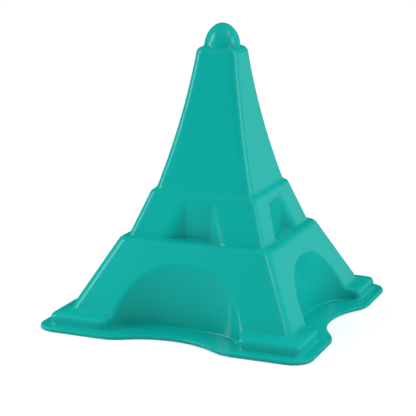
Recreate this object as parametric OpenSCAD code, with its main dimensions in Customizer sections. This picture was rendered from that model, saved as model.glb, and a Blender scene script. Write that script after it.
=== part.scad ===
// Sand mould in the form of a tiered tower on four legs: one thin moulded shell, hollow and open below.
// The floor is z = 0, the tower's axis is Z and the front is -Y. All four sides are alike.
// The moulding is divided at its own creases into zones, which meet face to face.

/* [Wall] */
// Thickness of the moulded wall
wall = 2; // [1.2:0.1:2.6]

/* [Base flange] */
// Width of the flange from edge to edge
flange_w = 162.5; // [150:0.5:180]
// Thickness of the flange
flange_t = 2.4; // [1.6:0.1:4]
// Radius of the flange's corners
flange_corner_r = 12; // [4:0.5:20]
// How far the flange stands out beyond the foot plinths
flange_rim = 6.2; // [3:0.1:12]
// Depth of the shallow bay in each side of the flange
bay_depth = 11.9; // [5:0.1:15]

/* [Foot plinths] */
// Height of a plinth's outer edge above the floor
plinth_h = 7.8; // [6:0.1:12]
// Width of the sloping shoulder between plinth and leg
shoulder_w = 8.5; // [5:0.1:12]
// Rise of the shoulder from the plinth's edge to the leg
shoulder_rise = 2.4; // [1.5:0.1:5]
// Radius of the plinth's upright corners
plinth_corner_r = 5; // [2:0.5:8]
// Radius of the plinth's upper edge
plinth_edge_r = 2; // [0.5:0.1:2.5]

/* [Lower tier] */
// Height of the lower tier, from the shoulder to the first ledge
lower_h = 39.7; // [32:0.1:50]
// Width of the lower tier at the first ledge
lower_top_w = 89.6; // [80:0.1:100]
// Radius of the upright corners of all tiers
tier_corner_r = 3; // [1.5:0.1:5]

/* [Arch scoops] */
// Width of an arch between two legs
arch_w = 79; // [60:0.5:90]
// Wall left between an arch's crown and the first ledge
arch_headroom = 10.8; // [7:0.1:14]

/* [Middle tier] */
// Width of the first ledge
first_ledge_w = 3.5; // [2.5:0.1:6]
// Radius of the first ledge's outer edge
first_edge_r = 3.5; // [0.5:0.1:4]
// Height of the middle tier
middle_h = 26.4; // [20:0.1:34]
// Width of the middle tier at the second ledge
middle_top_w = 62.4; // [54:0.1:70]

/* [Niches] */
// Width of a niche at the first ledge
niche_w = 34.4; // [26:0.1:44]
// Width of a niche's back wall
niche_back_w = 16.8; // [12:0.1:22]
// Wall left between a niche and the second ledge
niche_headroom = 5.3; // [3:0.1:8]

/* [Spire] */
// Width of the second ledge
second_ledge_w = 1.9; // [1:0.1:4]
// Radius of the second ledge's outer edge
second_edge_r = 1.9; // [0.5:0.1:3]
// Height of the spire
spire_h = 80.4; // [60:0.1:100]
// Width of the spire's flat top
spire_top_w = 23.6; // [20:0.1:30]
// How far the spire's faces are drawn in at half height
spire_hollow = 1.7; // [0:0.1:3]
// Radius of the edges round the spire's flat top
spire_edge_r = 3; // [0.5:0.1:4]

/* [Finial] */
// Width of the flat top that shows round the finial
finial_inset = 1.25; // [0.5:0.05:3]
// Height of the finial
finial_h = 13.3; // [10:0.1:20]

/* [Hidden] */

// Names of the corners and sides, each a quarter turn from the one before
CORNERS = ["front_right", "back_right", "back_left", "front_left"];
SIDES = ["front", "right", "back", "left"];
mould_colour = "#1ba79b";

// Angles of the upright faces from the pull direction, in degrees
plinth_draft = 3;
arch_back_draft = 4;
arch_side_draft = 1;
niche_draft = 5;

// Shares and exponents that shape the curves
arch_squareness = 2.4;
finial_squareness = 1.9;
bay_bend_share = 0.68;
inner_corner_share = 0.4;
skirt_share = 0.5;
edge_limit_share = 2;

// Steps along the curves
corner_steps = 6;
edge_steps = 4;
arch_steps = 32;
bay_steps = 10;
spire_steps = 14;
dome_steps = 18;
$fn = 64;

// How far a cut runs past what it cuts
overrun = 1;

// Levels above the floor
leg_z = plinth_h + shoulder_rise;
first_z = leg_z + lower_h;
second_z = first_z + middle_h;
cap_z = second_z + spire_h;
crown_z = first_z - arch_headroom;
niche_z = second_z - niche_headroom;

// Half widths of the tower at its creases
flange_half = flange_w / 2;
plinth_half = flange_half - flange_rim;
plinth_top_half = plinth_half - (plinth_h - flange_t) * tan(plinth_draft);
leg_half = plinth_top_half - shoulder_w;
lower_top_half = lower_top_w / 2;
middle_half = lower_top_half - first_ledge_w;
middle_top_half = middle_top_w / 2;
spire_half = middle_top_half - second_ledge_w;
spire_top_half = spire_top_w / 2;
finial_r = spire_top_half - finial_inset;

// Edge radii, limited by the wall or the ledge that carries them
plinth_r = min(plinth_edge_r, wall);
first_r = min(first_edge_r, first_ledge_w);
second_r = min(second_edge_r, second_ledge_w);
spire_r = min(spire_edge_r, edge_limit_share * wall);
inner_corner_r = inner_corner_share * tier_corner_r;

// Lower ends of the zones that hold the ledges and the spire's top, below their rounded edges
first_low_z = first_z - wall - skirt_share * first_r;
second_low_z = second_z - wall - skirt_share * second_r;
cap_low_z = cap_z - wall - spire_r;

// Creases of the outer face, as half width and height
out_base = [plinth_half, flange_t];
out_plinth = [plinth_top_half, plinth_h];
out_leg = [leg_half, leg_z];
out_first = [lower_top_half, first_z];
out_middle = [middle_half, first_z];
out_second = [middle_top_half, second_z];
out_spire = [spire_half, second_z];

// The same creases on the inner face, one wall further in
in_base = [plinth_half - wall, flange_t];
in_plinth = mitred(out_base, out_plinth, out_leg);
in_leg = mitred(out_plinth, out_leg, out_first);
in_first = mitred(out_leg, out_first, out_middle);
in_middle = mitred(out_first, out_middle, out_second);
in_second = mitred(out_middle, out_second, out_spire);

// Depth of an arch at the flange, which brings its crown to crown_z
arch_half = arch_w / 2;
arch_depth = plinth_half - half_at(out_leg, out_first, crown_z)
    - (crown_z - flange_t) * tan(arch_back_draft);

function unit(v) = v / norm(v);

// Half width at height z on the line from crease a to crease b
function half_at(a, b, z) = a[0] + (b[0] - a[0]) * (z - a[1]) / (b[1] - a[1]);

// Point at height z on the line from crease a to crease b
function point_at(a, b, z) = [half_at(a, b, z), z];

// The wall's inner crease behind the outer crease b, between creases a and c
function mitred(a, b, c) =
    let (p = unit(b - a), q = unit(c - b), n = [-p[1], p[0]], m = [-q[1], q[0]])
    b + wall * (n + m) / (1 + n * m);

// Arc of radius r in place of the crease b, between creases a and c
function rounded(a, b, c, r) =
    let (u = unit(a - b), v = unit(c - b), turn = acos(u * v) / 2)
    let (middle = b + unit(u + v) * r / sin(turn), reach = r / tan(turn))
    let (from = b + u * reach - middle, to = b + v * reach - middle)
    [for (k = [0:edge_steps]) middle + r * unit(from + (to - from) * k / edge_steps)];

// Section points with the upright corner radius r
function with_radius(points, r) = [for (p = points) [p[0], p[1], r]];

// Square with rounded corners, anticlockwise from the right
function square_ring(half, r) = [
    for (side = [0:3], k = [0:corner_steps])
        let (mid = 45 + 90 * side, turn = 90 * side + 90 * k / corner_steps)
        (half - r) * sqrt(2) * [cos(mid), sin(mid)] + r * [cos(turn), sin(turn)]
];

// Two triangles of the net between ring i and the ring after it
function net_faces(i, next, j, n) =
    let (a = i * n + j, b = i * n + (j + 1) % n, c = next * n + (j + 1) % n, d = next * n + j)
    [[a, d, c], [a, c, b]];

// Closed wall section, anticlockwise, carried round the square. Each point is half width, height, radius
module square_sweep(section) {
    rings = [for (p = section) [for (q = square_ring(p[0], p[2])) [q[0], q[1], p[1]]]];
    n = len(rings[0]);
    count = len(rings);
    polyhedron(
        points = [for (ring = rings) each ring],
        faces = [for (i = [0:count - 1], j = [0:n - 1]) each net_faces(i, (i + 1) % count, j, n)]
    );
}

// Solid through level rings of equal count, the lowest first
module ring_block(rings) {
    n = len(rings[0]);
    last = len(rings) - 1;
    polyhedron(
        points = [for (ring = rings) each ring],
        faces = concat(
            [[for (j = [0:n - 1]) j]],
            [for (i = [0:last - 1], j = [0:n - 1]) each net_faces(i, i + 1, j, n)],
            [[for (j = [0:n - 1]) last * n + n - 1 - j]]
        )
    );
}

// Solid square block through section points, the lowest first
module square_block(section) {
    ring_block([for (p = section) [for (q = square_ring(p[0], p[2])) [q[0], q[1], p[1]]]]);
}

// Plan of the front arch at height z, grown by a margin: flat-backed scoop, open towards the front
function arch_plan(z, margin) =
    let (a = arch_half + (z - flange_t) * tan(arch_side_draft) + margin)
    let (b = arch_depth + (z - flange_t) * tan(arch_back_draft) + margin)
    let (power = 2 / arch_squareness, far = flange_half + overrun)
    concat(
        [[-a, -far], [a, -far]],
        [for (k = [0:arch_steps])
            let (t = 180 * k / arch_steps)
            [a * sign(cos(t)) * pow(abs(cos(t)), power), b * pow(abs(sin(t)), power) - plinth_half]]
    );

// Space of the front arch, grown by a margin, from below the flange's top to above the first ledge
module arch_space(margin, past) {
    ring_block([for (z = [flange_t - past, first_z + past]) [for (q = arch_plan(z, margin)) [q[0], q[1], z]]]);
}

// Wall of all four arches, with the space in front of it
module arch_walls() {
    for (side = [0:3])
        rotate([0, 0, 90 * side]) arch_space(wall, overrun);
}

// Outer face of the feet and the lower tier, as section points
foot_outline = concat(
    with_radius([out_base], plinth_corner_r),
    with_radius(rounded(out_base, out_plinth, out_leg, plinth_r), plinth_corner_r),
    with_radius([out_leg], tier_corner_r)
);

// Plan of the front niche at height z, grown by a margin: back wall and two slanting cheeks
niche_reach = half_at(out_middle, out_second, niche_z);
niche_depth = middle_half - niche_reach - (niche_z - first_z) * tan(niche_draft);
niche_cheek = (niche_w - niche_back_w) / 2;
function niche_plan(z, margin) =
    let (back = niche_reach + (niche_z - z) * tan(niche_draft) - margin)
    let (half = niche_back_w / 2 + margin * tan(atan2(niche_depth, niche_cheek) / 2))
    let (run = (middle_half + overrun - back) / niche_depth)
    let (front = [half + niche_cheek * run, back + niche_depth * run])
    [[-front[0], -front[1]], [front[0], -front[1]], [half, -back], [-half, -back]];

// Space of the front niche, grown by a margin, from below the first ledge to past its own top
module niche_space(margin, past) {
    ring_block([for (z = [first_z - past, second_z + past]) [for (q = niche_plan(z, margin)) [q[0], q[1], z]]]);
}

// Half width of the spire at height z
function spire_at(z) =
    let (s = (z - second_z) / spire_h)
    spire_half + (spire_top_half - spire_half) * s - 4 * spire_hollow * s * (1 - s);

// Arc from one angle to another, in steps
function arc(centre, r, from, to, steps) =
    [for (k = [0:steps]) let (t = from + (to - from) * k / steps) centre + r * [cos(t), sin(t)]];

// Front edge of the flange from its left corner to its right one, with the bay and its two easy bends
function flange_edge() =
    let (reach = (arch_half * arch_half + bay_depth * bay_depth) / (2 * bay_depth))
    let (inner_r = bay_bend_share * reach, outer_r = reach - inner_r)
    let (turn = asin(arch_half / reach), inner_y = bay_depth - flange_half - inner_r)
    let (outer_y = outer_r - flange_half, corner = flange_half - flange_corner_r)
    concat(
        arc([-corner, -corner], flange_corner_r, 225, 270, corner_steps),
        arc([-arch_half, outer_y], outer_r, 270, 270 + turn, bay_steps),
        arc([0, inner_y], inner_r, 90 + turn, 90 - turn, bay_steps),
        arc([arch_half, outer_y], outer_r, 270 - turn, 270, bay_steps),
        arc([corner, -corner], flange_corner_r, 270, 315, corner_steps)
    );

function quarter_turned(points, turns) =
    [for (p = points) [p[0] * cos(90 * turns) - p[1] * sin(90 * turns),
        p[0] * sin(90 * turns) + p[1] * cos(90 * turns)]];

module base_flange() {
    color(mould_colour)
        linear_extrude(flange_t)
            difference() {
                polygon([for (side = [0:3]) each quarter_turned(flange_edge(), side)]);
                difference() {
                    polygon(square_ring(in_base[0], inner_corner_r));
                    for (side = [0:3])
                        polygon(quarter_turned(arch_plan(flange_t, wall), side));
                }
            }
}

// Low hollow step round the front right foot
module foot_plinth() {
    inside = [point_at(in_leg, in_first, leg_z), in_leg, in_plinth, in_base];
    color(mould_colour)
        difference() {
            intersection() {
                square_sweep(concat(foot_outline, with_radius(inside, inner_corner_r)));
                translate([0, -flange_half, 0]) cube([flange_half, flange_half, first_z]);
            }
            arch_walls();
        }
}

// Sloping corner shell of the front right leg, up to the level of the arches' crowns
module corner_leg() {
    outside = [out_leg, point_at(out_leg, out_first, crown_z)];
    inside = [point_at(in_leg, in_first, crown_z), point_at(in_leg, in_first, leg_z)];
    color(mould_colour)
        difference() {
            intersection() {
                square_sweep(concat(
                    with_radius(outside, tier_corner_r), with_radius(inside, inner_corner_r)
                ));
                translate([0, -flange_half, 0]) cube([flange_half, flange_half, first_z]);
            }
            arch_walls();
        }
}

// Curved upright wall of the front arch
module arch_scoop() {
    color(mould_colour)
        intersection() {
            difference() {
                arch_space(wall, overrun);
                arch_space(0, 2 * overrun);
            }
            square_block(concat(
                foot_outline, with_radius([point_at(out_leg, out_first, first_low_z)], tier_corner_r)
            ));
        }
}

// Ring of the lower tier between the arches' crowns and the first ledge
module lower_band() {
    outside = [point_at(out_leg, out_first, crown_z), point_at(out_leg, out_first, first_low_z)];
    inside = [point_at(in_leg, in_first, first_low_z), point_at(in_leg, in_first, crown_z)];
    color(mould_colour)
        difference() {
            square_sweep(concat(
                with_radius(outside, tier_corner_r), with_radius(inside, inner_corner_r)
            ));
            arch_walls();
        }
}

// Level ledge on the lower tier with its rounded edge. It is also the floor of the niches
module first_ledge() {
    edge = concat(
        [point_at(out_leg, out_first, first_low_z)],
        rounded(out_leg, out_first, out_middle, first_r)
    );
    room = [point_at(in_leg, in_first, first_low_z - overrun), in_first];
    color(mould_colour)
        difference() {
            square_block(with_radius(edge, tier_corner_r));
            square_block(with_radius(room, inner_corner_r));
            translate([0, 0, first_z - wall - overrun])
                linear_extrude(wall + 2 * overrun)
                    difference() {
                        polygon(square_ring(half_at(in_middle, in_second, first_z), inner_corner_r));
                        for (side = [0:3])
                            polygon(quarter_turned(niche_plan(first_z, wall), side));
                    }
        }
}

// Wall of the middle tier, with a gap for each niche
module middle_tier() {
    outside = [out_middle, point_at(out_middle, out_second, second_low_z)];
    inside = [point_at(in_middle, in_second, second_low_z), point_at(in_middle, in_second, first_z)];
    color(mould_colour)
        difference() {
            square_sweep(concat(
                with_radius(outside, tier_corner_r), with_radius(inside, inner_corner_r)
            ));
            for (side = [0:3])
                rotate([0, 0, 90 * side]) niche_space(wall, overrun);
        }
}

// Back wall and cheeks of the front niche
module window_niche() {
    color(mould_colour)
        intersection() {
            difference() {
                niche_space(wall, overrun);
                niche_space(0, 2 * overrun);
            }
            square_block(with_radius(
                [out_middle, point_at(out_middle, out_second, second_low_z)], tier_corner_r
            ));
        }
}

// Narrow level ledge on the middle tier with its rounded edge
module second_ledge() {
    outside = concat(
        [point_at(out_middle, out_second, second_low_z)],
        rounded(out_middle, out_second, out_spire, second_r)
    );
    opening = spire_half - wall;
    inside = [
        [opening, second_z], [opening, second_z - wall],
        in_second, point_at(in_middle, in_second, second_low_z),
    ];
    color(mould_colour)
        square_sweep(concat(with_radius(outside, tier_corner_r), with_radius(inside, inner_corner_r)));
}

// Four tall faces, slightly drawn in at half height
module spire() {
    levels = [for (k = [0:spire_steps]) second_z + (cap_low_z - second_z) * k / spire_steps];
    outside = [for (z = levels) [spire_at(z), z]];
    inside = [for (k = [spire_steps:-1:0]) [spire_at(levels[k]) - wall, levels[k]]];
    color(mould_colour)
        square_sweep(concat(with_radius(outside, tier_corner_r), with_radius(inside, inner_corner_r)));
}

// Flat top of the spire with its rounded edges, open for the finial
module spire_cap() {
    low = [spire_at(cap_low_z), cap_low_z];
    edge = concat([low], rounded(low, [spire_top_half, cap_z], [0, cap_z], spire_r));
    room = [low - [wall, overrun], [spire_top_half - wall, cap_z - wall]];
    color(mould_colour)
        difference() {
            square_block(with_radius(edge, tier_corner_r));
            square_block(with_radius(room, inner_corner_r));
            translate([0, 0, cap_z - wall])
                cylinder(r = finial_r, h = wall + overrun);
        }
}

// Quarter outline of a dome, from its foot to its top
function dome(r, h) =
    let (power = 2 / finial_squareness)
    [for (k = [0:dome_steps]) let (t = 90 * k / dome_steps) [r * pow(cos(t), power), h * pow(sin(t), power)]];

// Hollow dome, whose foot fills the opening in the flat top
module finial() {
    outside = dome(finial_r, finial_h);
    inside = dome(finial_r - wall, finial_h - wall);
    foot = [[finial_r - wall, -wall], [finial_r, -wall]];
    color(mould_colour)
        translate([0, 0, cap_z])
            rotate_extrude()
                polygon(concat(foot, outside, [for (k = [dome_steps:-1:0]) inside[k]]));
}

base_flange();
for (i = [0:3]) {
    rotate([0, 0, 90 * i]) foot_plinth();
    rotate([0, 0, 90 * i]) corner_leg();
    rotate([0, 0, 90 * i]) arch_scoop();
    rotate([0, 0, 90 * i]) window_niche();
}
lower_band();
first_ledge();
middle_tier();
second_ledge();
spire();
spire_cap();
finial();
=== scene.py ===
import math

import bpy
import numpy as np
from mathutils import Matrix, Vector


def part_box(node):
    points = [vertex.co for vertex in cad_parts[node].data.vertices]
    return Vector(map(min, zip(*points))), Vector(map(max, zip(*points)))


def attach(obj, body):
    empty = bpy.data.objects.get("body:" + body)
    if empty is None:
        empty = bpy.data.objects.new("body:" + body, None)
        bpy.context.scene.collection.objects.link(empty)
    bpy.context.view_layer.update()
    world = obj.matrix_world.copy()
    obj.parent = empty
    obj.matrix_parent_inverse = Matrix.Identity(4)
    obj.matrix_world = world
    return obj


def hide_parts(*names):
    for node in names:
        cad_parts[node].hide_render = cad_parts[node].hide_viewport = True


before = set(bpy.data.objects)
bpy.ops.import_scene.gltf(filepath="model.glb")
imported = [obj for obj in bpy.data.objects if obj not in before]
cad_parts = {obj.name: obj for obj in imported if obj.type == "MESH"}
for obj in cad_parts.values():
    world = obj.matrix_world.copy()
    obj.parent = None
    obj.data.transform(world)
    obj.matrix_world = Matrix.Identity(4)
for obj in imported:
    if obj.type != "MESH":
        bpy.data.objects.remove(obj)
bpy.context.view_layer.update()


def top_corner(node):
    """Highest corner of a node, in metres."""
    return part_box(node)[1]


# The moulding's corners are rounder than its solids', so its faces stand this much further out, in metres
PLINTH_SWELL = 0.0002
LOWER_SWELL = 0.0004
MIDDLE_SWELL = 0.0002
SPIRE_SWELL = 0.0004

# Sizes that the frame gives, in metres: half widths of the tiers and the levels of their creases
FLANGE_HALF = top_corner("base_flange").x
FLANGE_T = top_corner("base_flange").z
PLINTH_HALF = top_corner("foot_plinth_front_right").x + PLINTH_SWELL
LEG_Z = top_corner("foot_plinth_front_right").z
LEG_HALF = top_corner("corner_leg_front_right").x + LOWER_SWELL
CROWN_Z = top_corner("corner_leg_front_right").z
CROWN_HALF = top_corner("lower_band").x + LOWER_SWELL
FIRST_Z = top_corner("first_ledge").z
MIDDLE_HALF = top_corner("middle_tier").x + MIDDLE_SWELL
SECOND_Z = top_corner("second_ledge").z
SECOND_LOW_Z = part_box("second_ledge")[0].z
SECOND_LOW_HALF = top_corner("second_ledge").x + MIDDLE_SWELL
SPIRE_HALF = top_corner("spire").x + SPIRE_SWELL
CAP_Z = top_corner("spire_cap").z
FINIAL_H = top_corner("finial").z - CAP_Z

# Sizes of the moulding's own detail, in metres
WALL = 0.002
SHOULDER_W = 0.0085
SHOULDER_RISE = 0.0018
ARCH_HALF = 0.0395
BAY_DEPTH = 0.0119
NICHE_HALF = 0.0172
NICHE_BACK_HALF = 0.0085
NICHE_HEADROOM = 0.0053
UPPER_SEAT = 0.006
FINIAL_R = 0.01035
FINIAL_INSET = 0.00185
SPIRE_HOLLOW = 0.0017

# Drafts as slopes, and the shapes of the curves
PLINTH_DRAFT = math.tan(math.radians(3))
ARCH_BACK_DRAFT = math.tan(math.radians(4))
ARCH_SIDE_DRAFT = math.tan(math.radians(1))
NICHE_DRAFT = math.tan(math.radians(3))
ARCH_SQUARENESS = 2.4
FINIAL_SQUARENESS = 1.9
BAY_BEND_SHARE = 0.68

# Radii of the moulding's edges and fillets, in metres
FLANGE_CORNER_R = 0.012
PLINTH_CORNER_R = 0.005
LOWER_CORNER_R = 0.0064
MIDDLE_CORNER_R = 0.0046
SPIRE_CORNER_R = 0.0052
SHOULDER_CORNER_R = 0.02
FLANGE_EDGE_R = 0.0009
PLINTH_EDGE_R = 0.0028
PLINTH_END_R = 0.004
FIRST_EDGE_R = 0.0036
SECOND_EDGE_R = 0.0031
CAP_EDGE_R = 0.0038
ARCH_EDGE_R = 0.003
NICHE_EDGE_R = 0.0075
NICHE_CORNER_R = 0.003
MOUTH_EDGE_R = 0.0004
FLANGE_FILLET_R = 0.0012
SHOULDER_FILLET_R = 0.0025
LEDGE_FILLET_R = 0.0012
FINIAL_FILLET_R = 0.0004

# Values that follow from those
LOWER_SLOPE = (LEG_HALF - CROWN_HALF) / (CROWN_Z - LEG_Z)
MIDDLE_SLOPE = (MIDDLE_HALF - SECOND_LOW_HALF) / (SECOND_LOW_Z - FIRST_Z)
SHOULDER_SLOPE = SHOULDER_RISE / SHOULDER_W
SPIRE_H = CAP_Z - SECOND_Z
SPIRE_TOP_HALF = FINIAL_R + FINIAL_INSET
ARCH_DEPTH = PLINTH_HALF - CROWN_HALF - (CROWN_Z - FLANGE_T) * ARCH_BACK_DRAFT
NICHE_Z = SECOND_Z - NICHE_HEADROOM
NICHE_REACH = MIDDLE_HALF - (NICHE_Z - FIRST_Z) * MIDDLE_SLOPE
NICHE_DEPTH = MIDDLE_HALF - NICHE_REACH - (NICHE_Z - FIRST_Z) * NICHE_DRAFT
NICHE_SPREAD = (NICHE_HALF - NICHE_BACK_HALF) / NICHE_DEPTH

# Grid that the shell is sampled on, in metres
CELL = 0.0012
MARGIN = 0.0024
CELL_CORNERS = [np.array(corner) for corner in np.ndindex(2, 2, 2)]
OUTER, INNER = 0, 1

# How the mesh is settled on the true surface, with lengths in metres
SETTLE_STEPS = 4
LONGEST_STEP = CELL / 3
PROBE = CELL / 50
LEAST_AGREEMENT = 0.8
TINY = 1e-9

# Plastic: linear colours, gloss and grain, with the sizes of their patches in metres
TEAL_DEEP = (0.002, 0.365, 0.324)
TEAL_PALE = (0.003, 0.384, 0.342)
DRIFT_SIZE = 0.03
DRIFT_DETAIL = 3
PLASTIC_SPECULAR = 0.3
ROUGHNESS_LOW = 0.15
ROUGHNESS_HIGH = 0.21
GLOSS_SIZE = 0.008
GLOSS_DETAIL = 4
GRAIN_SIZE = 0.0006
GRAIN_DETAIL = 2
GRAIN_DEPTH = 0.00002
GRAIN_STRENGTH = 0.12

# Camera: place in metres, angles in degrees, lens and sensor in millimetres
CAMERA_PLACE = (0.3005, -0.7718, 0.25605)
CAMERA_AZIMUTH = 21.78
CAMERA_PITCH = 13.24
CAMERA_ROLL = 0.56
CAMERA_LENS = 125.33
CAMERA_SENSOR = 36

# Floor: half width in metres, and how pale it is
FLOOR_REACH = 6
FLOOR_SHADE = 0.95

# Light all round: the directions that it comes from, and how strongly
SURROUND = {
    "above": ((0, 0, 1), 1.25),
    "left": ((-1, 0, 0), 0.9),
    "behind right": ((0.707, 0.707, 0), 1.9),
    "right": ((1, 0, 0), 0.55),
}

# Lights: angles in degrees, distances and sizes in metres, power in watts
LIGHTS = {
    "key_light": dict(azimuth=-45, elevation=-6, distance=0.33, size=0.13, power=0.15),
    "left_light": dict(azimuth=-59, elevation=36, distance=0.9, size=0.25, power=1.6),
    "shine_light": dict(azimuth=-58, elevation=31, distance=0.9, size=0.36, power=2.0),
    "edge_light": dict(azimuth=-66, elevation=10, distance=0.9, size=0.22, power=1.0),
    "right_light": dict(azimuth=96, elevation=20, distance=1.3, size=0.45, power=1.8),
    "high_light": dict(azimuth=85, elevation=52, distance=1.3, size=0.45, power=1.4),
    "back_light": dict(azimuth=157, elevation=0, distance=1.3, size=0.35, power=0.11),
}
NOT_REFLECTED = ("key_light", "left_light")
ONLY_REFLECTED = ("shine_light",)


def round_max(a, b, r, facing=0.0):
    """Distance to what two solids share, with radius r on its edge; facing is the cosine between them."""
    reach = r * (1 - facing)
    corner = np.hypot(np.maximum(a + reach, 0), np.maximum(b + reach, 0))
    return np.minimum(np.maximum(a, b), -reach) + corner


def round_min(a, b, r, facing=0.0):
    """Distance to two solids together, with a fillet between their faces."""
    return -round_max(-a, -b, r, facing)


def lean(slope):
    """Share of a side's facing that is level, where the side leans in by a slope."""
    return 1 / np.hypot(1, slope)


def between(slope_a, slope_b):
    """Cosine between two faces of one side that lean by different slopes."""
    return (1 + slope_a * slope_b) * lean(slope_a) * lean(slope_b)


def sloping_sides(ax, ay, half, slope, r):
    """Distance to four sides that lean in by a slope, with rounded corners."""
    tilt = lean(slope)
    return round_max((ax - half) * tilt, (ay - half) * tilt, r, (slope * tilt) ** 2)


def superellipse(u, v, a, b, power):
    """Distance to a rounded outline with half axes a and b, to the first order, and its facing along v."""
    su, sv = u / a, v / b
    size = (su**power + sv**power) ** (1 / power) + TINY
    gu, gv = su ** (power - 1) / a, sv ** (power - 1) / b
    steep = np.hypot(gu, gv) + TINY
    return (size - 1) * size ** (power - 1) / steep, gv / steep


def plinth(ax, ay, z):
    """The low step round the feet, under its sloping shoulder."""
    half = PLINTH_HALF - (z - FLANGE_T) * PLINTH_DRAFT
    sides = sloping_sides(ax, ay, half, PLINTH_DRAFT, PLINTH_CORNER_R)
    tilt = lean(SHOULDER_SLOPE)
    shoulder = round_max(
        (z - LEG_Z + (ax - LEG_HALF) * SHOULDER_SLOPE) * tilt,
        (z - LEG_Z + (ay - LEG_HALF) * SHOULDER_SLOPE) * tilt,
        SHOULDER_CORNER_R,
        tilt**2,
    )
    return round_max(sides, shoulder, PLINTH_EDGE_R, (SHOULDER_SLOPE + PLINTH_DRAFT) * tilt)


def lower_tier(ax, ay, z):
    """The legs and the lower tier, up to the first ledge."""
    half = LEG_HALF - (z - LEG_Z) * LOWER_SLOPE
    sides = sloping_sides(ax, ay, half, LOWER_SLOPE, LOWER_CORNER_R)
    return round_max(sides, z - FIRST_Z, FIRST_EDGE_R, LOWER_SLOPE * lean(LOWER_SLOPE))


def arch_space(near, far, z):
    """The scoop under an arch, open to the front, and how squarely its wall faces the front."""
    half = ARCH_HALF + (z - FLANGE_T) * ARCH_SIDE_DRAFT
    depth = ARCH_DEPTH + (z - FLANGE_T) * ARCH_BACK_DRAFT
    return superellipse(near, np.maximum(PLINTH_HALF - far, 0), half, depth, ARCH_SQUARENESS)


def with_arch(foot, near, far, z):
    """The lower part with an arch cut from each side, and rounder ends on its plinths than on its legs."""
    arch, front = arch_space(near, far, z)
    climb = np.clip((z - FLANGE_T) / (LEG_Z - FLANGE_T), 0, 1)
    r = PLINTH_END_R + (ARCH_EDGE_R - PLINTH_END_R) * climb
    upright = 1 + (between(LOWER_SLOPE, ARCH_BACK_DRAFT) - 1) * climb
    return round_max(foot, -arch, r, front * upright)


def middle_tier(ax, ay, z):
    """The middle tier, up to the second ledge."""
    half = MIDDLE_HALF - (z - FIRST_Z) * MIDDLE_SLOPE
    sides = sloping_sides(ax, ay, half, MIDDLE_SLOPE, MIDDLE_CORNER_R)
    return round_max(sides, z - SECOND_Z, SECOND_EDGE_R, MIDDLE_SLOPE * lean(MIDDLE_SLOPE))


def with_niche(upper, near, far, z):
    """The upper part with a niche in each side: a back wall and two slanting cheeks."""
    inset = far - NICHE_REACH - (NICHE_Z - z) * NICHE_DRAFT
    behind = inset * lean(NICHE_DRAFT)
    beside = (NICHE_BACK_HALF + inset * NICHE_SPREAD - near) * lean(NICHE_SPREAD)
    slant = NICHE_SPREAD * lean(NICHE_SPREAD)
    solid = round_min(behind, beside, NICHE_CORNER_R, slant)

    # The rounding goes over from the back wall's to the cheek's, half each where the two meet
    cheek = np.clip((behind - beside) / NICHE_DEPTH + 0.5, 0, 1)
    back_facing = between(MIDDLE_SLOPE, NICHE_DRAFT)
    cheek_facing = slant * lean(MIDDLE_SLOPE)
    return round_max(upper, solid, NICHE_EDGE_R, back_facing + (cheek_facing - back_facing) * cheek)


def spire(ax, ay, z):
    """The tall spire with faces drawn in at half height, and its flat top."""
    s = (z - SECOND_Z) / SPIRE_H
    half = SPIRE_HALF + (SPIRE_TOP_HALF - SPIRE_HALF) * s - 4 * SPIRE_HOLLOW * s * (1 - s)
    slope = (SPIRE_HALF - SPIRE_TOP_HALF + 4 * SPIRE_HOLLOW * (1 - 2 * s)) / SPIRE_H
    sides = sloping_sides(ax, ay, half, slope, SPIRE_CORNER_R)
    return round_max(sides, z - CAP_Z, CAP_EDGE_R, slope * lean(slope))


def finial(ax, ay, z):
    """The domed tip."""
    rise = np.maximum(z - CAP_Z, 0)
    return superellipse(np.hypot(ax, ay), rise, FINIAL_R, FINIAL_H, FINIAL_SQUARENESS)[0]


def tower(ax, ay, z):
    """The tower as one solid without its flange, going on below the floor."""
    near, far = np.minimum(ax, ay), np.maximum(ax, ay)
    shoulder_facing = between(1 / SHOULDER_SLOPE, LOWER_SLOPE)
    foot = round_min(plinth(ax, ay, z), lower_tier(ax, ay, z), SHOULDER_FILLET_R, shoulder_facing)
    foot = with_arch(foot, near, far, z)
    upper = round_min(middle_tier(ax, ay, z), spire(ax, ay, z), LEDGE_FILLET_R)
    upper = round_min(upper, finial(ax, ay, z), FINIAL_FILLET_R)
    upper = with_niche(upper, near, far, z)
    upper = np.maximum(upper, FIRST_Z - UPPER_SEAT - z)
    return round_min(foot, upper, LEDGE_FILLET_R, MIDDLE_SLOPE * lean(MIDDLE_SLOPE))


def bay_edge(along):
    """Reach of the flange's edge along one side: two easy bends and the bay between them."""
    reach = (ARCH_HALF**2 + BAY_DEPTH**2) / (2 * BAY_DEPTH)
    inner_r = BAY_BEND_SHARE * reach
    outer_r = reach - inner_r
    split = BAY_BEND_SHARE * ARCH_HALF
    inner = FLANGE_HALF - BAY_DEPTH + inner_r - np.sqrt(np.maximum(inner_r**2 - along**2, 0))
    past = np.clip(along - ARCH_HALF, split - ARCH_HALF, 0)
    outer = FLANGE_HALF - outer_r + np.sqrt(outer_r**2 - past**2)
    return np.where(along < split, inner, outer)


def flange(ax, ay, z):
    """The flat base flange."""
    outline = round_max(ax - bay_edge(ay), ay - bay_edge(ax), FLANGE_CORNER_R)
    return round_max(outline, z - FLANGE_T, FLANGE_EDGE_R)


def bodies(x, y, z):
    """Distances to the moulding as if it were solid, and to all that lies outside its hollow."""
    ax, ay = np.abs(x), np.abs(y)
    core = tower(ax, ay, z)
    solid = round_min(core, flange(ax, ay, z), FLANGE_FILLET_R)
    return round_max(solid, -z, FLANGE_EDGE_R), -(core + WALL)


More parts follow.
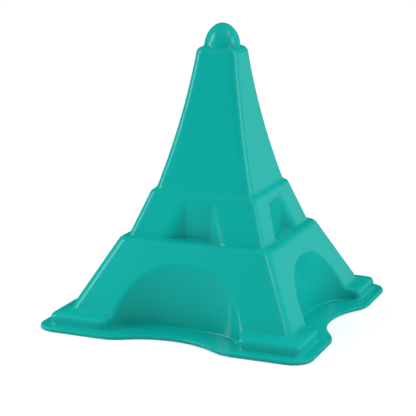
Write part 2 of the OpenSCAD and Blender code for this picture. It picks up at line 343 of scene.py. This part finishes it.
def shell(x, y, z):
    """The whole moulding: tower and flange, hollow and open below."""
    return round_max(*bodies(x, y, z), MOUTH_EDGE_R)


def gradient(points):
    """Slope of the shell's distance at each point."""
    slopes = []
    for axis in np.eye(3) * PROBE:
        slopes.append((shell(*(points + axis).T) - shell(*(points - axis).T)) / (2 * PROBE))
    return np.stack(slopes, 1)


def sample_lines(low, high):
    """Evenly spaced grid lines, set evenly about the middle."""
    count = math.ceil((high - low) / CELL) + 1
    middle = (low + high) / 2
    return middle + (np.arange(count) - (count - 1) / 2) * CELL


def crossing_sums(lines, values, open_air, cells):
    """Sum and count of the points where each cell's edges cross the outer and the inner surface."""
    total = np.zeros((2, len(cells), 3))
    count = np.zeros((2, len(cells)))
    for axis in range(3):
        for corner in CELL_CORNERS:
            if corner[axis]:
                continue
            a = cells + corner
            b = a + np.eye(3, dtype=int)[axis]
            va, vb = values[tuple(a.T)], values[tuple(b.T)]
            crossed = (va < 0) != (vb < 0)
            share = np.where(crossed, va / np.where(crossed, va - vb, 1), 0)
            start = np.stack([lines[n][a[:, n]] for n in range(3)], 1)
            end = np.stack([lines[n][b[:, n]] for n in range(3)], 1)
            point = start + share[:, None] * (end - start)
            to_air = open_air[tuple(a.T)] | open_air[tuple(b.T)]
            for surface, mine in ((OUTER, crossed & to_air), (INNER, crossed & ~to_air)):
                total[surface] += point * mine[:, None]
                count[surface] += mine
    return total, count


def net_quads(inside, open_air, index):
    """One quad for each grid edge that crosses a surface, between the vertices of the four cells round it."""
    quads = []
    for axis in range(3):
        ahead, across, up = np.roll(np.eye(3, dtype=int), -axis, axis=0)
        start = tuple(slice(0, inside.shape[n] - ahead[n]) for n in range(3))
        end = tuple(slice(ahead[n], None) for n in range(3))
        edges = np.argwhere(inside[start] != inside[end])
        outward = inside[start][tuple(edges.T)]
        to_air = (open_air[start] | open_air[end])[tuple(edges.T)]
        surface = np.where(to_air, OUTER, INNER)
        around = (0 * up, across, across + up, up)
        ring = np.stack([index[(surface, *(edges - back).T)] for back in around], 1)
        quads.append(np.where(outward[:, None], ring, ring[:, ::-1]))
    return np.concatenate(quads)


def surface_net():
    """Vertices and quads of the shell, with a vertex for each surface in each grid cell that it crosses."""
    side = sample_lines(-FLANGE_HALF - MARGIN, FLANGE_HALF + MARGIN)
    lines = (side, side, sample_lines(-MARGIN, CAP_Z + FINIAL_H + MARGIN))
    solid, hollow = bodies(*np.meshgrid(*lines, indexing="ij", sparse=True))
    values = round_max(solid, hollow, MOUTH_EDGE_R)
    inside = values < 0
    open_air = solid >= 0

    shape = np.array(values.shape) - 1
    filled = np.zeros(shape, dtype=int)
    for corner in CELL_CORNERS:
        filled += inside[tuple(slice(corner[n], corner[n] + shape[n]) for n in range(3))]
    cells = np.argwhere((filled > 0) & (filled < len(CELL_CORNERS)))
    total, count = crossing_sums(lines, values, open_air, cells)

    # The two surfaces meet at the mouth, so there they share their vertices
    mouth = lines[2][cells[:, 2]] < WALL
    total[OUTER, mouth] += total[INNER, mouth]
    count[OUTER, mouth] += count[INNER, mouth]
    count[INNER, mouth] = 0
    used = count > 0
    points = total[used] / count[used][:, None]

    number = np.full(used.shape, -1)
    number[used] = np.arange(len(points))
    number[INNER, mouth] = number[OUTER, mouth]
    index = np.full((2, *shape), -1)
    index[(slice(None), *cells.T)] = number
    return points, net_quads(inside, open_air, index)


def unit(rows):
    """Rows scaled to length one."""
    return rows / np.linalg.norm(rows, axis=1)[:, None]


def mesh_normals(points, quads):
    """Normal of the mesh at each vertex, from the quads round it."""
    a, b, c, d = (points[quads[:, n]] for n in range(4))
    across = np.cross(c - a, d - b)
    total = np.zeros_like(points)
    for n in range(4):
        np.add.at(total, quads[:, n], across)
    return unit(total)


def add_object(name, data):
    """New object of the scene, with the mesh, camera or light that it shows."""
    added = bpy.data.objects.new(name, data)
    bpy.context.scene.collection.objects.link(added)
    return added


def moulded_shell():
    """The moulding as one mesh, with its vertices on the true surface and the surface's own normals."""
    points, quads = surface_net()
    for _ in range(SETTLE_STEPS):
        slope = gradient(points)
        step = shell(*points.T)[:, None] * slope / (slope**2).sum(1)[:, None]
        length = np.linalg.norm(step, axis=1)[:, None]
        points = points - step * np.minimum(1, LONGEST_STEP / (length + TINY))

    # On a crease the surface's own normal can be far from the mesh's, which then takes its place
    flat = mesh_normals(points, quads)
    normals = unit(gradient(points))
    agree = (normals * flat).sum(1) > LEAST_AGREEMENT
    normals = np.where(agree[:, None], normals, flat)

    mesh = bpy.data.meshes.new("mould_shell")
    mesh.from_pydata(points.tolist(), [], quads.tolist())
    mesh.shade_smooth()
    stored = mesh.attributes.new("custom_normal", "FLOAT_VECTOR", "POINT")
    stored.data.foreach_set("vector", normals.ravel())
    return add_object("mould_shell", mesh)


def moulded_plastic():
    """Satin teal plastic: its colour and gloss drift slightly, and its skin has a fine grain."""
    material = bpy.data.materials.new("moulded_plastic")
    material.use_nodes = True
    nodes, links = material.node_tree.nodes, material.node_tree.links
    shader = nodes["Principled BSDF"]
    shader.inputs["Specular IOR Level"].default_value = PLASTIC_SPECULAR
    place = nodes.new("ShaderNodeTexCoord")

    def noise(size, detail):
        """Noise whose patches have the given size, in metres."""
        node = nodes.new("ShaderNodeTexNoise")
        node.inputs["Scale"].default_value = 1 / size
        node.inputs["Detail"].default_value = detail
        links.new(place.outputs["Object"], node.inputs["Vector"])
        return node.outputs["Fac"]

    tint = nodes.new("ShaderNodeMix")
    tint.data_type = "RGBA"
    tint.inputs["A"].default_value = (*TEAL_DEEP, 1)
    tint.inputs["B"].default_value = (*TEAL_PALE, 1)
    links.new(noise(DRIFT_SIZE, DRIFT_DETAIL), tint.inputs["Factor"])
    links.new(tint.outputs["Result"], shader.inputs["Base Color"])

    gloss = nodes.new("ShaderNodeMapRange")
    gloss.inputs["To Min"].default_value = ROUGHNESS_LOW
    gloss.inputs["To Max"].default_value = ROUGHNESS_HIGH
    links.new(noise(GLOSS_SIZE, GLOSS_DETAIL), gloss.inputs["Value"])
    links.new(gloss.outputs["Result"], shader.inputs["Roughness"])

    bump = nodes.new("ShaderNodeBump")
    bump.inputs["Strength"].default_value = GRAIN_STRENGTH
    bump.inputs["Distance"].default_value = GRAIN_DEPTH
    links.new(noise(GRAIN_SIZE, GRAIN_DETAIL), bump.inputs["Height"])
    links.new(bump.outputs["Normal"], shader.inputs["Normal"])
    return material


def direction(azimuth, elevation):
    """Unit vector towards an azimuth, from the front to the right, and an elevation, in degrees."""
    a, e = math.radians(azimuth), math.radians(elevation)
    return Vector((math.sin(a) * math.cos(e), -math.cos(a) * math.cos(e), math.sin(e)))


def place_camera():
    """Camera at the photograph's viewing angle."""
    data = bpy.data.cameras.new("camera")
    data.sensor_width = CAMERA_SENSOR
    data.lens = CAMERA_LENS
    back = direction(CAMERA_AZIMUTH, CAMERA_PITCH)
    level = direction(CAMERA_AZIMUTH + 90, 0)
    upright = back.cross(level)
    roll = math.radians(CAMERA_ROLL)
    right = level * math.cos(roll) + upright * math.sin(roll)
    up = upright * math.cos(roll) - level * math.sin(roll)
    turn = Matrix((right, up, back)).transposed().to_4x4()
    camera = add_object("camera", data)
    camera.matrix_world = Matrix.Translation(CAMERA_PLACE) @ turn
    bpy.context.scene.camera = camera


def soft_light(name, azimuth, elevation, distance, size, power):
    """Square area light that faces the middle of the tower."""
    data = bpy.data.lights.new(name, "AREA")
    data.size = size
    data.energy = power
    way = direction(azimuth, elevation)
    light = add_object(name, data)
    light.location = Vector((0, 0, CAP_Z / 2)) + way * distance
    light.rotation_euler = (-way).to_track_quat("-Z", "Y").to_euler()
    light.visible_glossy = name not in NOT_REFLECTED
    light.visible_diffuse = name not in ONLY_REFLECTED


def surround():
    """Soft light from all round, stronger from some directions, that shows in no reflection."""
    world = bpy.data.worlds.new("surround")
    bpy.context.scene.world = world
    world.use_nodes = True
    world.cycles_visibility.glossy = False
    nodes, links = world.node_tree.nodes, world.node_tree.links
    way = nodes.new("ShaderNodeTexCoord")
    strength = None
    for toward, gain in SURROUND.values():
        facing = nodes.new("ShaderNodeVectorMath")
        facing.operation = "DOT_PRODUCT"
        facing.inputs[1].default_value = toward
        links.new(way.outputs["Generated"], facing.inputs[0])
        front = nodes.new("ShaderNodeMath")
        front.operation = "MAXIMUM"
        front.inputs[1].default_value = 0
        links.new(facing.outputs["Value"], front.inputs[0])
        square = nodes.new("ShaderNodeMath")
        square.operation = "MULTIPLY"
        links.new(front.outputs["Value"], square.inputs[0])
        links.new(front.outputs["Value"], square.inputs[1])
        total = nodes.new("ShaderNodeMath")
        total.operation = "MULTIPLY_ADD"
        total.inputs[1].default_value = gain
        total.inputs[2].default_value = 0
        links.new(square.outputs["Value"], total.inputs[0])
        if strength:
            links.new(strength, total.inputs[2])
        strength = total.outputs["Value"]
    background = nodes["Background"]
    background.inputs["Color"].default_value = (1, 1, 1, 1)
    links.new(strength, background.inputs["Strength"])


def pale_floor():
    """Plain matt floor, which shows in no reflection."""
    mesh = bpy.data.meshes.new("floor")
    corners = [(-FLOOR_REACH, -FLOOR_REACH, 0), (FLOOR_REACH, -FLOOR_REACH, 0),
               (FLOOR_REACH, FLOOR_REACH, 0), (-FLOOR_REACH, FLOOR_REACH, 0)]
    mesh.from_pydata(corners, [], [(0, 1, 2, 3)])
    floor = add_object("floor", mesh)
    floor.visible_glossy = False
    paint = bpy.data.materials.new("floor_paint")
    paint.use_nodes = True
    shader = paint.node_tree.nodes["Principled BSDF"]
    shader.inputs["Base Color"].default_value = (FLOOR_SHADE, FLOOR_SHADE, FLOOR_SHADE, 1)
    shader.inputs["Roughness"].default_value = 1
    shader.inputs["Specular IOR Level"].default_value = 0
    mesh.materials.append(paint)


def studio():
    """Pale floor and soft light."""
    pale_floor()
    surround()
    for name, values in LIGHTS.items():
        soft_light(name, **values)
    bpy.context.scene.view_settings.view_transform = "Standard"


place_camera()
piece = moulded_shell()
piece.data.materials.append(moulded_plastic())
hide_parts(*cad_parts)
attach(piece, "root")
studio()
